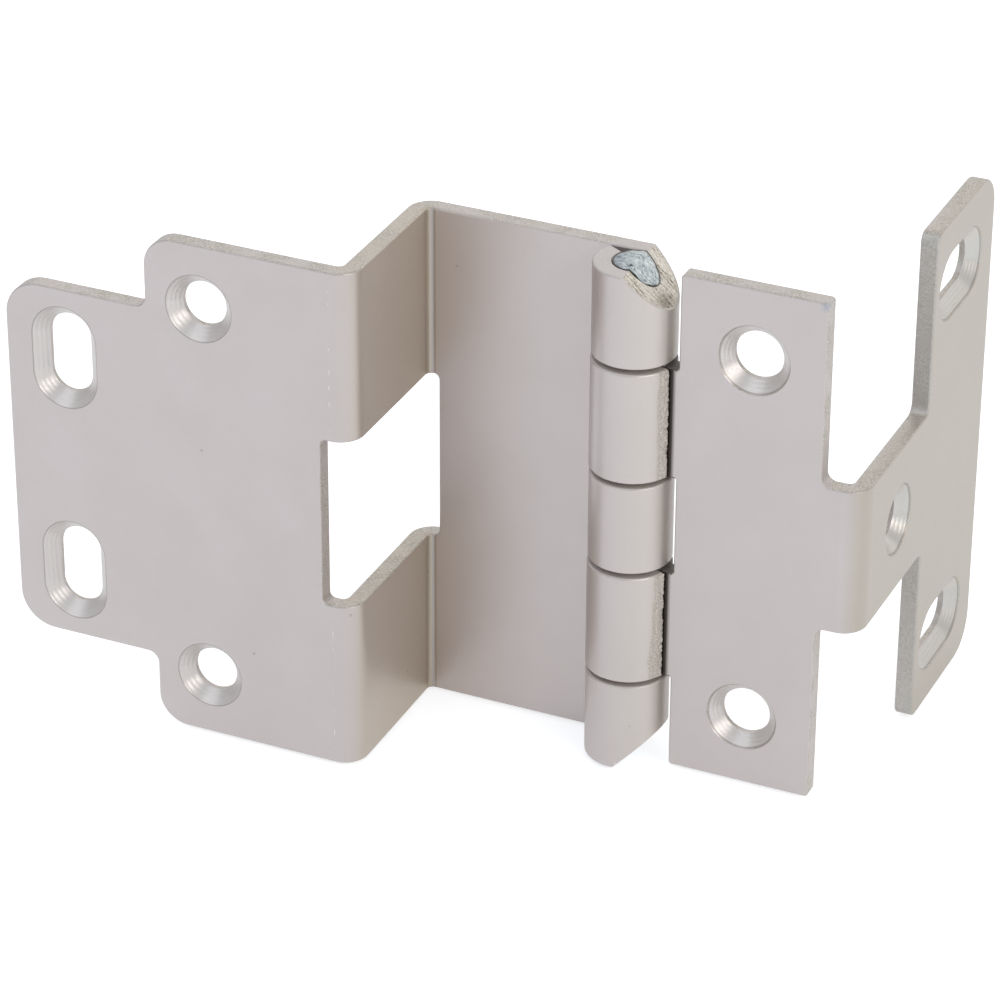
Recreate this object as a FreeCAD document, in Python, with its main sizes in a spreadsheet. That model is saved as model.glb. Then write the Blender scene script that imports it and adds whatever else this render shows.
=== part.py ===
"""A wrap-around cabinet hinge with five knuckles and sloped tips, in millimetres.

It is three pieces. The door wing is one folded sheet: a face plate that lies on the inside of the
door, a step round the door's edge, and a leaf that is curled into the upper, middle and lower
knuckles. The frame wing is another folded sheet: a leaf on the edge of the side panel, a neck round
the corner and a plate along the panel's face. The pin is held tight in the door wing's knuckles
and turns freely in the two knuckles of the frame wing.

The hinge is modelled opened flat, as on a table. X runs along the leaves, Y from the front of the
leaves to the boards behind them, and Z along the pin. The bodies are built about the pin's axis
and then set down so that the origin is on the back of the frame leaf, midway between its screws.
"""
import FreeCAD, Part
import math
import os
import Sketcher

SIZES = (
    ("height", 69.85, "both wings and the barrel, 2 3/4 in"),
    ("sheet", 2.41, "thickness of the sheet, 0.095 in"),
    ("bend", 0.8, "inner radius of every fold"),
    ("edge", 0.25, "radius that tumbling and the coat give to the sheet's edges"),
    ("pin", 5.95, "diameter of the pin, 15/64 in"),
    ("play", 0.06, "radial clearance of the frame knuckles on the pin"),
    ("seam", 0.35, "gap that each curl's end leaves to its own leaf"),
    ("relief", 1.0, "distance from the leaves' cut-outs to the barrel"),
    ("middle", 12.16, "length of the middle knuckle"),
    ("frame_knuckle", 15.19, "length of each frame knuckle"),
    ("slit", 0.67, "gap between neighbouring knuckles"),
    ("crease", 0.2, "place where the sloped tip starts, along X"),
    ("slope", 45.0, "angle of the sloped tips, in degrees"),
    ("seat", 21.9, "depth of the step that takes the door's edge"),
    ("reach", 29.3, "from the pin's axis to the step's outer face"),
    ("shoulder", 28.5, "length of the face plate at full height"),
    ("plate", 48.5, "length of the whole face plate"),
    ("tongue", 49.9, "height of the face plate's narrow end"),
    ("tongue_corner", 4.8, "corner radius of the narrow end"),
    ("shoulder_corner", 4.0, "corner radius of the full height part"),
    ("step_corner", 1.5, "inner corner radius between the two"),
    ("window_height", 23.5, "height of the window that the neck passes through"),
    ("window_out", 4.6, "reach of the window into the face plate"),
    ("window_in", 1.4, "reach of the window into the leaf"),
    ("window_corner", 0.8, "corner radius of the window"),
    ("door_hole", 6.0, "screw hole in the face plate"),
    ("door_sink", 9.1, "its countersink"),
    ("door_hole_out", 21.0, "from the step's outer face to the screw holes"),
    ("door_hole_pitch", 52.7, "distance between the screw holes"),
    ("slot_width", 5.8, "width of the adjusting slots"),
    ("slot_sink", 1.65, "width of the slots' countersunk rim"),
    ("slot_run", 5.1, "straight length of the face plate's slots"),
    ("slot_out", 40.3, "from the step's outer face to the slots"),
    ("slot_pitch", 30.8, "distance between the slots"),
    ("offset", 1.4, "from the pin's axis to the front of the frame leaf"),
    ("reverse", 0.6, "radius of the reverse bend behind the frame leaf"),
    ("leaf_gap", 3.29, "from the frame leaf's far edge to the wrapped plate's inner face"),
    ("wrap", 31.2, "from the pin's axis to the wrapped plate's outer face"),
    ("leaf_corner", 0.5, "corner radius of the frame leaf"),
    ("neck", 20.1, "height of the neck"),
    ("neck_root", 1.3, "inner corner radius of the neck"),
    ("wrap_near", 23.2, "from the frame leaf's front to the wrapped plate's near edge"),
    ("wrap_far", 45.3, "from the frame leaf's front to the wrapped plate's far edge"),
    ("wrap_corner", 5.0, "far corner radius of the wrapped plate"),
    ("wrap_nose", 1.4, "near corner radius of the wrapped plate"),
    ("frame_hole", 6.4, "screw hole in the frame wing"),
    ("frame_sink", 9.5, "its countersink"),
    ("frame_hole_out", 16.2, "from the pin's axis to the frame leaf's screw holes"),
    ("frame_hole_pitch", 50.7, "distance between the frame leaf's screw holes"),
    ("neck_hole", 13.4, "from the frame leaf's front to the hole in the neck"),
    ("wrap_slot", 32.8, "from the frame leaf's front to the wrapped plate's slots"),
    ("wrap_slot_run", 6.8, "straight length of the wrapped plate's slots"),
    ("wrap_slot_pitch", 51.1, "distance between the wrapped plate's slots"),
    ("screw_angle", 82.0, "angle of the countersinks, in degrees"),
)

# How far a cut reaches past the metal that it removes.
SPARE = 2.0
# Two places closer than this count as the same place.
NEAR = 0.01

doc = FreeCAD.newDocument("cabinet_hinge")
sheet = doc.addObject("Spreadsheet::Sheet", "sizes")
for row, (alias, number, meaning) in enumerate(SIZES, start=1):
    sheet.set("A%d" % row, meaning)
    sheet.set("B%d" % row, "%g" % number)
    sheet.setAlias("B%d" % row, alias)
doc.recompute()


class Size:
    """A length with its present value and the expression that binds it to the sheet."""

    def __init__(self, value, text):
        self.value = value
        self.text = text

    def joined(self, other, sign, value):
        return Size(value, "(%s %s %s)" % (self.text, sign, other.text))

    def __add__(self, other):
        other = as_size(other)
        return self.joined(other, "+", self.value + other.value)

    def __sub__(self, other):
        other = as_size(other)
        return self.joined(other, "-", self.value - other.value)

    def __mul__(self, other):
        other = as_size(other)
        return self.joined(other, "*", self.value * other.value)

    def __truediv__(self, other):
        other = as_size(other)
        return self.joined(other, "/", self.value / other.value)

    def __neg__(self):
        return as_size(0.0) - self


def as_size(number):
    return number if isinstance(number, Size) else Size(float(number), "%g" % number)


def size(alias):
    return Size(float(sheet.get(alias)), "sizes." + alias)


# Places that several features share, measured from the pin's axis.
half = size("height") / 2
door_bore = size("pin") / 2
door_barrel = door_bore + size("sheet")
frame_bore = door_bore + size("play")
frame_barrel = frame_bore + size("sheet")
clear_of_barrel = frame_barrel + size("relief")
middle_end = size("middle") / 2
frame_start = middle_end + size("slit")
frame_end = frame_start + size("frame_knuckle")
outer_start = frame_end + size("slit")
plate_back = door_barrel - size("seat")
plate_front = plate_back - size("sheet")
step_outer = -size("reach")
step_inner = step_outer - size("sheet")
plate_end = step_outer - size("plate")
shoulder_end = step_outer - size("shoulder")
tongue_edge = size("tongue") / 2
window_edge = size("window_height") / 2
leaf_front = -size("offset")
leaf_back = leaf_front + size("sheet")
neck_edge = size("neck") / 2
wrap_outer = size("wrap")
wrap_inner = wrap_outer - size("sheet")
leaf_end = wrap_inner - size("leaf_gap")
wrap_near = leaf_front + size("wrap_near")
wrap_far = leaf_front + size("wrap_far")
outer_bend = size("bend") + size("sheet")


def new_body(label):
    body = doc.addObject("PartDesign::Body", label)
    body.Label = label
    return body


def new_sketch(body, name, plane, off=None):
    """A sketch on one of the body's own origin planes, moved along the plane's normal by off."""
    sketch = body.newObject("Sketcher::SketchObject", name)
    support = [f for f in body.Origin.OriginFeatures if f.Role == plane][0]
    sketch.AttachmentSupport = [(support, "")]
    sketch.MapMode = "FlatFace"
    if off is not None:
        sketch.AttachmentOffset = FreeCAD.Placement(FreeCAD.Vector(0, 0, off.value), FreeCAD.Rotation())
        sketch.setExpression("AttachmentOffset.Base.z", off.text)
    return sketch


def hold(sketch, name, amount, kind, *where):
    """Adds a constraint whose value follows the sheet."""
    index = sketch.addConstraint(Sketcher.Constraint(kind, *where, amount.value))
    sketch.renameConstraint(index, name)
    sketch.setExpression("Constraints." + name, amount.text)


def add_line(sketch, start, end):
    return sketch.addGeometry(Part.LineSegment(FreeCAD.Vector(*start, 0), FreeCAD.Vector(*end, 0)))


def add_circle(sketch, centre, radius):
    return sketch.addGeometry(Part.Circle(FreeCAD.Vector(*centre, 0), FreeCAD.Vector(0, 0, 1), radius))


def add_arc(sketch, centre, radius, start, end):
    """An arc that runs anticlockwise from one angle to the other, in degrees."""
    circle = Part.Circle(FreeCAD.Vector(*centre, 0), FreeCAD.Vector(0, 0, 1), radius)
    return sketch.addGeometry(Part.ArcOfCircle(circle, math.radians(start), math.radians(end)))


def level(sketch, line):
    sketch.addConstraint(Sketcher.Constraint("Horizontal", line))


def upright(sketch, line):
    sketch.addConstraint(Sketcher.Constraint("Vertical", line))


def join(sketch, kind, first, first_end, second, second_end):
    sketch.addConstraint(Sketcher.Constraint(kind, first, first_end, second, second_end))


def rectangle(sketch, left, right, low, high):
    """A closed rectangle whose four sides follow the sheet."""
    corners = [(left, low), (right, low), (right, high), (left, high)]
    points = [(across.value, up.value) for across, up in corners]
    lines = [add_line(sketch, points[k], points[(k + 1) % 4]) for k in range(4)]
    for k in range(4):
        join(sketch, "Coincident", lines[k], 2, lines[(k + 1) % 4], 1)
    for k in (0, 2):
        level(sketch, lines[k])
        upright(sketch, lines[k + 1])
    hold(sketch, "left", left, "DistanceX", -1, 1, lines[0], 1)
    hold(sketch, "low", low, "DistanceY", -1, 1, lines[0], 1)
    hold(sketch, "right", right, "DistanceX", -1, 1, lines[1], 2)
    hold(sketch, "high", high, "DistanceY", -1, 1, lines[1], 2)


def slot(sketch, across, up, radius, run, lengthwise):
    """A slot with round ends, centred on a point. lengthwise says that it runs along the sketch's X."""
    shift = run / 2
    still = as_size(0.0)
    long_x, long_y = (shift, still) if lengthwise else (still, shift)
    ends = [(across - long_x, up - long_y), (across + long_x, up + long_y)]
    turn = 90.0 if lengthwise else 180.0
    arcs = []
    for number, (x, y) in enumerate(ends):
        begin = turn + 180.0 * number
        arcs.append(add_arc(sketch, (x.value, y.value), radius.value, begin, begin + 180.0))
        hold(sketch, "end%d_across" % number, x, "DistanceX", -1, 1, arcs[number], 3)
        hold(sketch, "end%d_up" % number, y, "DistanceY", -1, 1, arcs[number], 3)
    for number in range(2):
        begin = sketch.Geometry[arcs[number]].EndPoint
        end = sketch.Geometry[arcs[1 - number]].StartPoint
        side = add_line(sketch, (begin.x, begin.y), (end.x, end.y))
        join(sketch, "Tangent", arcs[number], 2, side, 1)
        join(sketch, "Tangent", side, 2, arcs[1 - number], 1)
    hold(sketch, "radius", radius, "Radius", arcs[0])


def pad_through(body, sketch, name):
    """Makes the section as long as the hinge is high, half above and half below the middle."""
    pad = body.newObject("PartDesign::Pad", name)
    pad.Profile = sketch
    pad.SideType = "Symmetric"
    pad.Length = size("height").value
    pad.setExpression("Length", "sizes.height")
    doc.recompute()
    return pad


def cut_through(body, sketch, name):
    """Cuts the sketch's outline right through the body, both ways."""
    pocket = body.newObject("PartDesign::Pocket", name)
    pocket.Profile = sketch
    pocket.SideType = "Symmetric"
    pocket.Type = "ThroughAll"
    return pocket


def cut_up(body, sketch, name):
    """Cuts away all that stands above the sketch's outline."""
    pocket = body.newObject("PartDesign::Pocket", name)
    pocket.Profile = sketch
    pocket.Type = "ThroughAll"
    pocket.Reversed = True
    return pocket


def drill(body, name, plane, off, across, up, through, sink):
    """A countersunk screw hole that goes in from a plane of the body."""
    sketch = new_sketch(body, name + "_centre", plane, off)
    circle = add_circle(sketch, (across.value, up.value), size(through).value / 2)
    hold(sketch, "across", across, "DistanceX", -1, 1, circle, 3)
    hold(sketch, "up", up, "DistanceY", -1, 1, circle, 3)
    hold(sketch, "through", size(through), "Diameter", circle)
    doc.recompute()
    hole = body.newObject("PartDesign::Hole", name)
    hole.Profile = sketch
    doc.recompute()
    hole.ThreadType = "None"
    hole.HoleCutType = "Countersink"
    hole.HoleCutCustomValues = True
    hole.DepthType = "ThroughAll"
    hole.setExpression("Diameter", "sizes." + through)
    hole.setExpression("HoleCutDiameter", "sizes." + sink)
    hole.setExpression("HoleCutCountersinkAngle", "sizes.screw_angle")
    doc.recompute()
    return hole


def mirror_down(body, features, name):
    """Repeats features of the upper half in the lower half."""
    mirrored = body.newObject("PartDesign::Mirrored", name)
    middle = [f for f in body.Origin.OriginFeatures if f.Role == "XY_Plane"][0]
    mirrored.MirrorPlane = (middle, [""])
    mirrored.Originals = features
    body.Tip = mirrored
    doc.recompute()
    return mirrored


def corner(edge, **place):
    """Whether a straight edge lies at the given place. Above and below the middle count as the same."""
    if edge.Curve.TypeId != "Part::GeomLine":
        return False
    if "z" in place and edge.BoundBox.ZLength > NEAR:
        return False
    for vertex in edge.Vertexes:
        here = {"x": vertex.X, "y": vertex.Y, "z": abs(vertex.Z)}
        if any(abs(here[axis] - where.value) > NEAR for axis, where in place.items()):
            return False
    return True


def round_corners(body, name, radius, **place):
    """Rounds the straight edges of the body's last feature that lie at the given place."""
    last = body.Tip
    edges = [k for k, edge in enumerate(last.Shape.Edges, start=1) if corner(edge, **place)]
    fillet = body.newObject("PartDesign::Fillet", name)
    fillet.Base = (last, ["Edge%d" % k for k in edges])
    fillet.Radius = radius.value
    fillet.setExpression("Radius", radius.text)
    doc.recompute()
    return fillet


def inside_curl(face):
    """Whether a face is the pin's bore or the slanted cut that ends a curl."""
    surface = face.Surface
    if surface.TypeId == "Part::GeomCylinder":
        return min(abs(surface.Radius - bore.value) for bore in (door_bore, frame_bore)) < NEAR
    return max(abs(surface.Axis.x), abs(surface.Axis.y), abs(surface.Axis.z)) < 1 - NEAR


def soften_edges(body):
    """Rounds all the sheet's sharp edges by a little, apart from those inside the curls."""
    last = body.Tip
    edges = []
    for k, edge in enumerate(last.Shape.Edges, start=1):
        faces = last.Shape.ancestorsOfType(edge, Part.Face)
        if len(faces) != 2 or any(inside_curl(face) for face in faces):
            continue
        middle = edge.valueAt((edge.FirstParameter + edge.LastParameter) / 2)
        first, second = [face.normalAt(*face.Surface.parameter(middle)) for face in faces]
        if first.getAngle(second) > math.radians(30):
            edges.append("Edge%d" % k)
    soft = body.newObject("PartDesign::Fillet", "soft_edges")
    soft.Base = (last, edges)
    soft.setExpression("Radius", "sizes.edge")
    doc.recompute()
    return soft


def sink_slots(body, name, look, face, along, reach):
    """Countersinks the slots' rims in the face that stands at the place face on the axis look. along is
    the slots' place in that face, and reach is how far their outline goes from it."""
    last = body.Tip
    edges = []
    for k, edge in enumerate(last.Shape.Edges, start=1):
        centre = edge.BoundBox.Center
        depth, side = (centre.x, centre.y) if look == "x" else (centre.y, centre.x)
        thick = edge.BoundBox.XLength if look == "x" else edge.BoundBox.YLength
        if thick < NEAR and abs(depth - face.value) < NEAR and abs(side - along.value) < reach.value + NEAR:
            if abs(centre.z) < half.value - NEAR:
                edges.append("Edge%d" % k)
    sink = body.newObject("PartDesign::Chamfer", name)
    sink.Base = (last, edges)
    sink.ChamferType = "Two distances"
    sink.setExpression("Size", "sizes.slot_sink")
    sink.setExpression("Size2", "sizes.slot_sink / tan(sizes.screw_angle * 0.5 deg)")
    doc.recompute()
    return sink


def slope_tips(body):
    """Cuts both ends of the barrel down along a slope that starts beside the axis."""
    sketch = new_sketch(body, "tip_outline", "XZ_Plane")
    edge = door_barrel + SPARE
    drop = (edge.value - size("crease").value) * math.tan(math.radians(size("slope").value))
    start = (size("crease").value, half.value)
    far = (edge.value, half.value)
    low = (edge.value, half.value - drop)
    top = add_line(sketch, start, far)
    side = add_line(sketch, far, low)
    ramp = add_line(sketch, low, start)
    join(sketch, "Coincident", top, 2, side, 1)
    join(sketch, "Coincident", side, 2, ramp, 1)
    join(sketch, "Coincident", ramp, 2, top, 1)
    level(sketch, top)
    upright(sketch, side)
    hold(sketch, "crease", size("crease"), "DistanceX", -1, 1, top, 1)
    hold(sketch, "tip", half, "DistanceY", -1, 1, top, 1)
    hold(sketch, "edge", edge, "DistanceX", -1, 1, top, 2)
    fall = -math.radians(size("slope").value)
    index = sketch.addConstraint(Sketcher.Constraint("Angle", top, 1, ramp, 2, fall))
    sketch.renameConstraint(index, "slope")
    sketch.setExpression("Constraints.slope", "-sizes.slope * 1 deg")
    upper = cut_through(body, sketch, "tip")
    return mirror_down(body, [upper], "tips")


def folded_sides(sketch, points, places):
    """Draws the sides of a folded sheet, level and upright by turns, from the first point to the last.
    places holds each side's own place, or None for one that a curl sets by its tangent."""
    sides = []
    for k in range(len(points) - 1):
        side = add_line(sketch, *[(x.value, y.value) for x, y in points[k:k + 2]])
        if k % 2 == 0:
            level(sketch, side)
        else:
            upright(sketch, side)
        if sides:
            join(sketch, "Coincident", sides[-1], 2, side, 1)
        if places[k] is not None:
            hold(sketch, "side%d" % k, places[k], "DistanceX" if k % 2 else "DistanceY", -1, 1, side, 1)
        sides.append(side)
    return sides


def close_curl(sketch, bore, outside, end, stop):
    """Closes a curl with a cut that points at the pin's axis and meets the outside at the level stop."""
    inner, outer = [sketch.getPoint(arc, end) for arc in (bore, outside)]
    cut = add_line(sketch, (inner.x, inner.y), (outer.x, outer.y))
    join(sketch, "Coincident", bore, end, cut, 1)
    join(sketch, "Coincident", cut, 2, outside, end)
    for arc in (bore, outside):
        join(sketch, "Coincident", arc, 3, -1, 1)
    sketch.addConstraint(Sketcher.Constraint("PointOnObject", -1, 1, cut))
    hold(sketch, "seam", stop, "DistanceY", -1, 1, outside, end)


def door_section(body):
    """The folded door wing seen from above: plate, step, leaf and the curl round the pin."""
    sketch = new_sketch(body, "section", "XY_Plane")
    axis = as_size(0.0)
    points = (
        (axis, door_barrel),
        (step_inner, door_barrel),
        (step_inner, plate_back),
        (plate_end, plate_back),
        (plate_end, plate_front),
        (step_outer, plate_front),
        (step_outer, door_bore),
        (axis, door_bore),
    )
    places = (None, step_inner, plate_back, plate_end, plate_front, step_outer, None)
    sides = folded_sides(sketch, points, places)
    stop = door_bore - size("seam")
    seam = 180.0 - math.degrees(math.asin(stop.value / door_barrel.value))
    bore = add_arc(sketch, (0, 0), door_bore.value, seam, 450.0)
    outside = add_arc(sketch, (0, 0), door_barrel.value, seam, 450.0)
    join(sketch, "Tangent", sides[-1], 2, bore, 2)
    join(sketch, "Tangent", sides[0], 1, outside, 2)
    close_curl(sketch, bore, outside, 1, stop)
    hold(sketch, "bore", door_bore, "Radius", bore)
    hold(sketch, "barrel", door_barrel, "Radius", outside)
    return sketch


def frame_section(body):
    """The folded frame wing seen from above: the curl, its reverse bend, leaf, neck and wrapped plate."""
    sketch = new_sketch(body, "section", "XY_Plane")
    rise = leaf_back + size("reverse")
    slant = frame_barrel + size("reverse")
    touch = math.asin(rise.value / slant.value)
    start = as_size(slant.value * math.cos(touch))
    points = (
        (start, leaf_back),
        (wrap_inner, leaf_back),
        (wrap_inner, wrap_far),
        (wrap_outer, wrap_far),
        (wrap_outer, leaf_front),
        (start, leaf_front),
    )
    sides = folded_sides(sketch, points, (None, wrap_inner, wrap_far, wrap_outer, leaf_front))
    meet = math.degrees(touch)
    centre = (start.value, rise.value)
    bend_in = add_arc(sketch, centre, size("reverse").value, 180.0 + meet, 270.0)
    bend_out = add_arc(sketch, centre, (size("reverse") + size("sheet")).value, 180.0 + meet, 270.0)
    stop = leaf_front - size("seam")
    seam = 360.0 + math.degrees(math.asin(stop.value / frame_barrel.value))
    bore = add_arc(sketch, (0, 0), frame_bore.value, meet, seam)
    outside = add_arc(sketch, (0, 0), frame_barrel.value, meet, seam)
    join(sketch, "Tangent", sides[0], 1, bend_in, 2)
    join(sketch, "Tangent", sides[-1], 2, bend_out, 2)
    join(sketch, "Tangent", bend_in, 1, outside, 1)
    join(sketch, "Tangent", bend_out, 1, bore, 1)
    join(sketch, "Coincident", bend_in, 3, bend_out, 3)
    close_curl(sketch, bore, outside, 2, stop)
    hold(sketch, "reverse", size("reverse"), "Radius", bend_in)
    hold(sketch, "bore", frame_bore, "Radius", bore)
    hold(sketch, "barrel", frame_barrel, "Radius", outside)
    return sketch


def set_down(body):
    """Moves a body from the pin's axis to the hinge's own origin."""
    body.Placement.Base = FreeCAD.Vector(-size("frame_hole_out").value, -leaf_back.value, 0)
    body.setExpression("Placement.Base.x", "-sizes.frame_hole_out")
    body.setExpression("Placement.Base.y", (-leaf_back).text)
    return body


def door_wing():
    body = new_body("door_wing")
    pad_through(body, door_section(body), "folded_sheet")
    round_corners(body, "plate_fold_inside", size("bend"), x=step_inner, y=plate_back)
    round_corners(body, "plate_fold_outside", outer_bend, x=step_outer, y=plate_front)
    round_corners(body, "leaf_fold_inside", size("bend"), x=step_outer, y=door_bore)
    round_corners(body, "leaf_fold_outside", outer_bend, x=step_inner, y=door_barrel)

    above = new_sketch(body, "above_tongue", "XZ_Plane")
    rectangle(above, plate_end - SPARE, shoulder_end, tongue_edge, half + SPARE)
    between = new_sketch(body, "frame_knuckle_room", "XZ_Plane")
    rectangle(between, -clear_of_barrel, frame_barrel + SPARE, middle_end, outer_start)
    outline = [cut_through(body, above, "tongue_cut"), cut_through(body, between, "knuckle_room")]
    mirror_down(body, outline, "lower_outline")
    opening = new_sketch(body, "window_outline", "XZ_Plane")
    window_left = step_outer - size("window_out")
    window_right = step_outer + size("window_in")
    rectangle(opening, window_left, window_right, -window_edge, window_edge)
    cut_through(body, opening, "window")
    doc.recompute()

    round_corners(body, "tongue_corners", size("tongue_corner"), x=plate_end, z=tongue_edge)
    round_corners(body, "shoulder_corners", size("shoulder_corner"), x=shoulder_end, z=half)
    round_corners(body, "step_corners", size("step_corner"), x=shoulder_end, z=tongue_edge)
    round_corners(body, "plate_window_corners", size("window_corner"), x=window_left, z=window_edge)
    round_corners(body, "leaf_window_corners", size("window_corner"), x=window_right, z=window_edge)
    soften_edges(body)

    out = step_outer - size("door_hole_out")
    up = size("door_hole_pitch") / 2
    holes = [drill(body, "screw_hole", "XZ_Plane", -plate_front, out, up, "door_hole", "door_sink")]
    adjust = new_sketch(body, "slot_outline", "XZ_Plane")
    slots_at = step_outer - size("slot_out")
    slot(adjust, slots_at, size("slot_pitch") / 2, size("slot_width") / 2, size("slot_run"), False)
    holes.append(cut_through(body, adjust, "slot"))
    mirror_down(body, holes, "lower_holes")
    sink_slots(body, "slot_sinks", "y", plate_front, slots_at, size("slot_width") / 2)
    slope_tips(body)
    return set_down(body)


def frame_wing():
    body = new_body("frame_wing")
    pad_through(body, frame_section(body), "folded_sheet")
    round_corners(body, "neck_fold_inside", size("bend"), x=wrap_inner, y=leaf_back)
    round_corners(body, "neck_fold_outside", outer_bend, x=wrap_outer, y=leaf_front)

    room = new_sketch(body, "middle_knuckle_room", "XZ_Plane")
    rectangle(room, -frame_barrel - SPARE, clear_of_barrel, -frame_start, frame_start)
    cut_through(body, room, "middle_room")
    top = new_sketch(body, "outer_knuckle_room", "XZ_Plane")
    rectangle(top, -frame_barrel - SPARE, clear_of_barrel, frame_end, half + SPARE)
    gap = new_sketch(body, "above_neck", "XY_Plane", neck_edge)
    rectangle(gap, leaf_end, wrap_outer + SPARE, leaf_front - SPARE, wrap_near)
    outline = [cut_through(body, top, "outer_room"), cut_up(body, gap, "neck_cut")]
    mirror_down(body, outline, "lower_outline")

    round_corners(body, "leaf_near_corners", size("leaf_corner"), x=clear_of_barrel, z=half)
    round_corners(body, "leaf_far_corners", size("leaf_corner"), x=leaf_end, z=half)
    round_corners(body, "leaf_neck_corners", size("neck_root"), x=leaf_end, z=neck_edge)
    round_corners(body, "plate_neck_corners", size("neck_root"), y=wrap_near, z=neck_edge)
    round_corners(body, "plate_near_corners", size("wrap_nose"), y=wrap_near, z=half)
    round_corners(body, "plate_far_corners", size("wrap_corner"), y=wrap_far, z=half)
    soften_edges(body)

    out = size("frame_hole_out")
    up = size("frame_hole_pitch") / 2
    holes = [drill(body, "leaf_hole", "XZ_Plane", -leaf_front, out, up, "frame_hole", "frame_sink")]
    adjust = new_sketch(body, "slot_outline", "YZ_Plane", wrap_outer)
    slots_at = leaf_front + size("wrap_slot")
    slot(adjust, slots_at, size("wrap_slot_pitch") / 2, size("slot_width") / 2, size("wrap_slot_run"), True)
    holes.append(cut_through(body, adjust, "slot"))
    mirror_down(body, holes, "lower_holes")
    along = leaf_front + size("neck_hole")
    drill(body, "neck_hole", "YZ_Plane", wrap_outer, along, as_size(0.0), "frame_hole", "frame_sink")
    slot_reach = (size("slot_width") + size("wrap_slot_run")) / 2
    sink_slots(body, "slot_sinks", "x", wrap_outer, slots_at, slot_reach)
    return set_down(body)


def hinge_pin():
    body = new_body("hinge_pin")
    sketch = new_sketch(body, "section", "XY_Plane")
    circle = add_circle(sketch, (0, 0), door_bore.value)
    join(sketch, "Coincident", circle, 3, -1, 1)
    hold(sketch, "pin", size("pin"), "Diameter", circle)
    pad_through(body, sketch, "rod")
    slope_tips(body)
    return set_down(body)


pieces = [door_wing(), frame_wing(), hinge_pin()]
doc.recompute()

for item in doc.Objects:
    if "Invalid" in item.State or "Error" in item.State:
        raise RuntimeError("%s could not be built" % item.Name)
for piece in pieces:
    if piece.Shape.isNull() or not piece.Shape.isValid() or len(piece.Shape.Solids) != 1:
        raise RuntimeError("%s is not one sound solid" % piece.Label)

os.makedirs("parts", exist_ok=True)
for piece in pieces:
    piece.Shape.exportStep("parts/%s.step" % piece.Label)
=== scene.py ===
"""A wrap-around cabinet hinge of folded steel sheet with a satin nickel coat, on a pale floor."""

import math

import bmesh
import bpy
from mathutils import Euler, Matrix, Vector, noise


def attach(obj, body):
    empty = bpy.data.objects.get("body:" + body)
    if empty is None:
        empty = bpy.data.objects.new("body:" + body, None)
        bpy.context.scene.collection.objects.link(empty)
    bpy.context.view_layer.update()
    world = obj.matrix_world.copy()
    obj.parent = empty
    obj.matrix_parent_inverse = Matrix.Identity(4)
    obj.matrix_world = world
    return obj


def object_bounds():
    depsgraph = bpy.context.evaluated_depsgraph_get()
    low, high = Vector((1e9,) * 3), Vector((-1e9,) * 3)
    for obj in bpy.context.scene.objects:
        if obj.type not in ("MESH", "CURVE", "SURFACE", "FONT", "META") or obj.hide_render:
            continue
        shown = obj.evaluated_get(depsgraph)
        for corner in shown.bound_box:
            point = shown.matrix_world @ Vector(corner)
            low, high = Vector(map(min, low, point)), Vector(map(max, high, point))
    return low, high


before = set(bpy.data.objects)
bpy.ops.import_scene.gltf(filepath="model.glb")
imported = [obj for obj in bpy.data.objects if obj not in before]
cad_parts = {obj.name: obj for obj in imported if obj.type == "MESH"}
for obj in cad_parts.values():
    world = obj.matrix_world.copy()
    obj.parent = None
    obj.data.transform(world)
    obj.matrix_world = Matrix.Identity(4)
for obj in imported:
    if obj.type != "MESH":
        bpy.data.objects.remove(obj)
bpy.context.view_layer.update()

MM = 0.001
# Sizes and places of the solids, in millimetres.
AXIS = Vector((-16.2, -1.01, 0.0))  # the pin's
HALF_HEIGHT = 34.925
CREASE = 0.2  # a tip's slope starts this far right of the axis
PIN_RADIUS = 2.975
DOOR_BARREL = 5.385
FRAME_BARREL = 5.445
BARREL_REACH = 5.8  # just outside the knuckles and their burrs
CURL_STOP = 1.75  # how far in front of the axis the frame's curls end
CURL_MIDDLE, CURL_HALF = 14.35, 7.6  # their middle above or below z = 0, and half of their height
LEAF_FRONT = -2.41  # y of the frame leaf's front
INNER_CORNER = (-45.5, 1.965)  # where the step meets the door leaf
STEP_MIDDLE, STEP_REACH = -46.7, 1.6  # x of the step's sheet, and a reach past both of its faces
WRAP_START, WRAP_FRONT = 11.5, 12.0  # the wrapped plate lies right of this x, its edges behind this y
# The sunk holes, one of each pair: the middle, half of a slot's run, and the plane of its outline.
THROUGH = 99  # as a run, longer than the sheet is thick
FACING_FRONT, FACING_SIDE = (1, 0, 1), (0, 1, 1)
SUNK_HOLES = [
    ((-66.5, 0, 26.35), (0, THROUGH, 0), FACING_FRONT),
    ((-85.8, 0, 15.4), (0, THROUGH, 2.55), FACING_FRONT),
    ((0, 0, 25.35), (0, THROUGH, 0), FACING_FRONT),
    ((0, 10.99, 0), (THROUGH, 0, 0), FACING_SIDE),
    ((0, 30.39, 25.55), (THROUGH, 3.4, 0), FACING_SIDE),
]
SINK_REACH, RIM_RADIUS = 4.6, 4.56  # just outside a countersink, and its rim
RING_PITCH = 0.4
FACES = 0.6  # a face counts as facing along an axis when its normal has more than this share there
MIX_COLOURS = {"data_type": "RGBA"}

scene = bpy.context.scene
scene.view_settings.view_transform = "Standard"


def hex_colour(text):
    """An sRGB hex value as linear red, green, blue and alpha."""
    parts = [int(text[k : k + 2], 16) / 255 for k in (0, 2, 4)]
    linear = [c / 12.92 if c <= 0.04045 else ((c + 0.055) / 1.055) ** 2.4 for c in parts]
    return (*linear, 1.0)


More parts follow.
